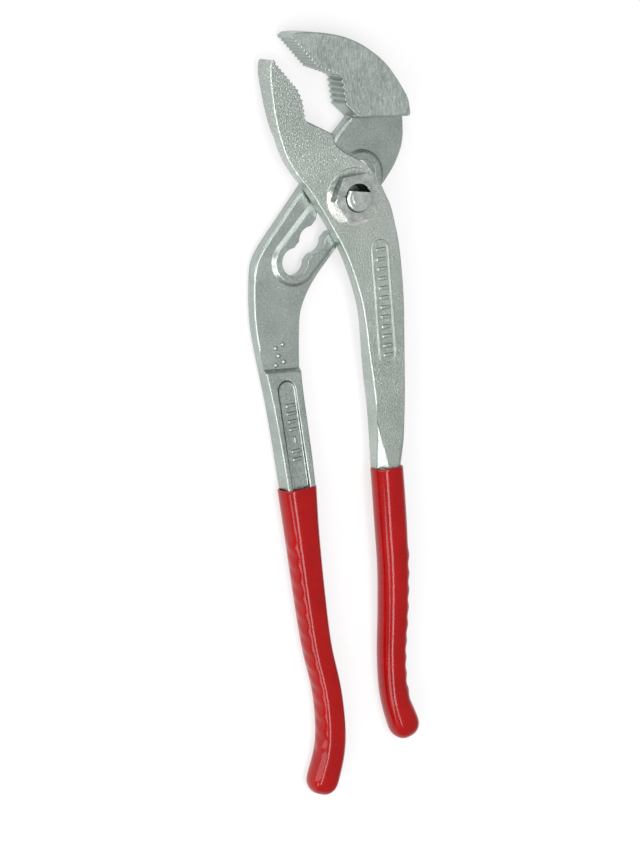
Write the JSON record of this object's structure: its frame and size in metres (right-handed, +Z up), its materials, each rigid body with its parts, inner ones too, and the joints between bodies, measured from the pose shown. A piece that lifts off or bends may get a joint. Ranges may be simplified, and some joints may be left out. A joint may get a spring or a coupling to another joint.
{
  "type": "tongue and groove pliers",
  "caption": "Slip-joint water pump pliers: two forged steel levers on a pivot bolt that seats along a scalloped slot, toothed jaws and dipped grips.",
  "frame": {"origin": "centre of the bounding box in plan, on the surface that the pliers lie on", "axes": "+Y along the tool towards the jaws, +Z up through the pivot bolt's axis towards the nut, +X towards the front lever's handle"},
  "size_m": [0.0608, 0.2516, 0.0173],
  "materials": {
    "brushed_forging": "zinc plated forging with brushed jaw face",
    "blasted_forging": "zinc plated forging with shot blasted face",
    "fastener_steel": "bright plated",
    "grip_vinyl": "glossy red dipped vinyl"
  },
  "bodies": {
    "slotted_half": {"slotted_lever": "brushed_forging", "slotted_lever_grip": "grip_vinyl"},
    "bolt_seat": {"pivot_washer": "fastener_steel"},
    "front_half": {"front_lever": "blasted_forging", "front_lever_grip": "grip_vinyl", "pivot_bolt": "fastener_steel", "pivot_nut": "fastener_steel"}
  },
  "joints": [
    {"name": "seat_slide", "type": "slide", "parent": "slotted_half", "child": "bolt_seat", "axis": [0.6626, 0.749, 0], "range_m": [-0.0092, 0.0092]},
    {"name": "lever_pivot", "type": "hinge", "parent": "bolt_seat", "child": "front_half", "pos_m": [0.00218, 0.07254, 0.0073], "axis": [0, 0, 1], "range_deg": [0, 55]}
  ]
}
